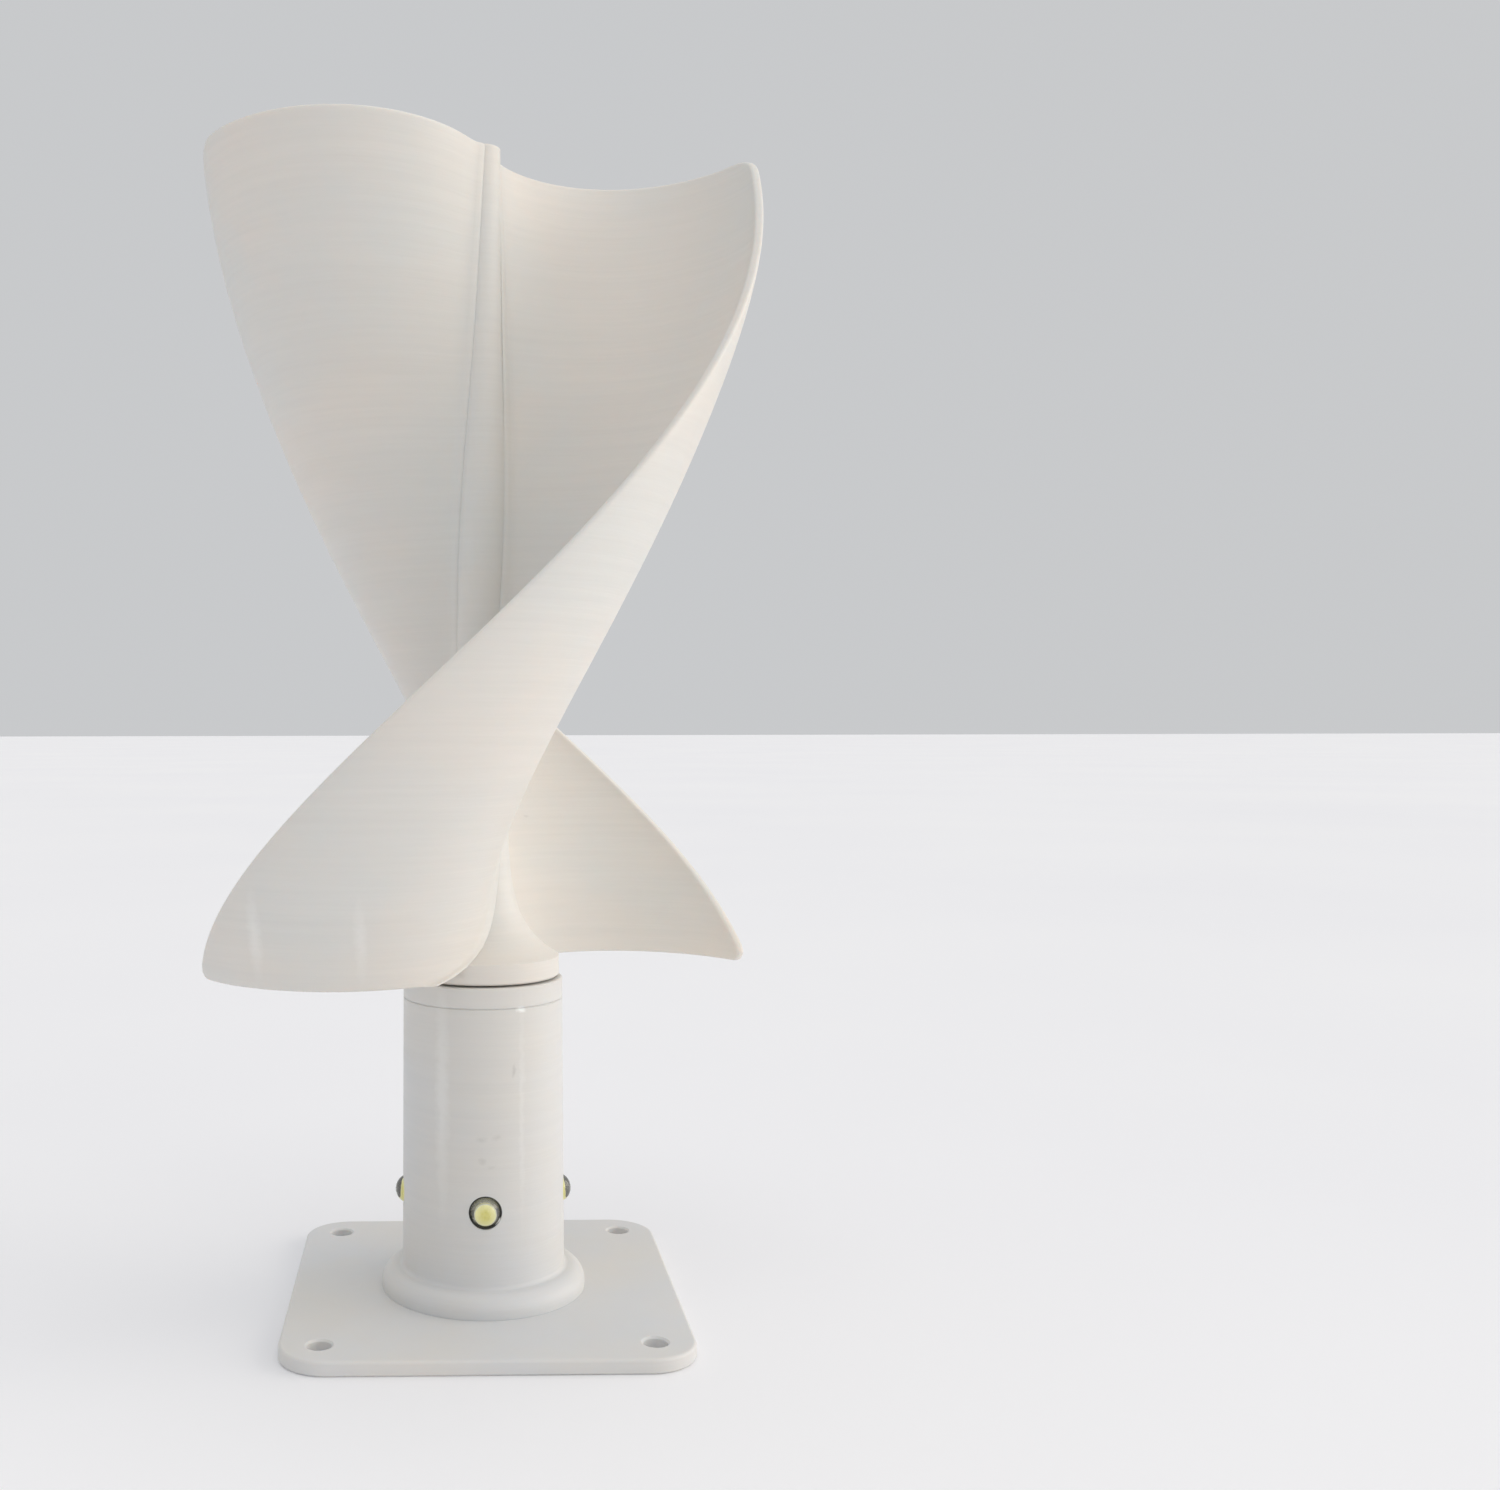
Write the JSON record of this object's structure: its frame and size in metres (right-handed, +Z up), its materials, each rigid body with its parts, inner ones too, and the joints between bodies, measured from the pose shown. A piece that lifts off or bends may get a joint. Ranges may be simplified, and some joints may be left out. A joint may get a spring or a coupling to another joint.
{
  "type": "small vertical-axis wind turbine",
  "caption": "Desk-size vertical-axis wind turbine: twisted two-blade rotor on a tube tower with generator, indicator LEDs and a drilled square base.",
  "frame": {"origin": "centre of the base plate's underside, on the rotor's axis", "axes": "+Z up along the rotor's axis, -Y towards the front LED, +X to its right; the base plate's sides lie along X and Y"},
  "size_m": [0.098, 0.098, 0.2021],
  "materials": {
    "body_plastic": "white printed plastic with faint layer lines",
    "rotor_plastic": "warm white printed plastic with faint layer lines",
    "screw_steel": "zinc-plated steel",
    "case_steel": "plain drawn steel",
    "lamination_steel": "stacked electrical steel, dull",
    "enamelled_copper": "enamelled copper wire, wound in layers",
    "bronze": "sintered bronze",
    "board_laminate": "green solder mask on glass laminate",
    "component_black": "moulded black epoxy",
    "capacitor_sleeve": "dark blue shrink sleeve",
    "wire_insulation": "yellow insulation",
    "tinned_wire": "tinned copper-clad steel",
    "phosphor_yellow": "yellow phosphor in silicone",
    "bezel_black": "black nylon",
    "clear_epoxy": "water-clear moulded epoxy",
    "brass_insert": "turned brass",
    "shaft_steel": "ground steel",
    "washer_nylon": "natural nylon",
    "magnet_ferrite": "sintered magnet, nickel-grey"
  },
  "bodies": {
    "tower": {"base_plate": "body_plastic", "tower_tube": "body_plastic", "tower_screws": "screw_steel", "tower_cap": "body_plastic", "generator_screws": "screw_steel", "generator_case": "case_steel", "generator_end_plate": "case_steel", "stator_core": "lamination_steel", "stator_windings": "enamelled_copper", "bearing_lower": "bronze", "bearing_upper": "bronze", "rectifier_board": "board_laminate", "board_screws": "screw_steel", "rectifier_diodes": "component_black", "smoothing_capacitor": "capacitor_sleeve", "phase_wires": "wire_insulation", "led_legs": "tinned_wire", "led_phosphors": "phosphor_yellow", "led_bezels": "bezel_black", "led_front": "clear_epoxy", "led_right": "clear_epoxy", "led_back": "clear_epoxy", "led_left": "clear_epoxy"},
    "rotor": {"rotor_hub": "rotor_plastic", "blade_a": "rotor_plastic", "blade_b": "rotor_plastic", "hub_sleeve": "brass_insert", "rotor_shaft": "shaft_steel", "thrust_washer": "washer_nylon", "magnet_carrier": "brass_insert", "ring_magnet": "magnet_ferrite"}
  },
  "joints": [
    {"name": "rotor_spin", "type": "hinge", "parent": "tower", "child": "rotor", "pos_m": [0, 0, 0.0465], "axis": [0, 0, 1], "continuous": true}
  ]
}
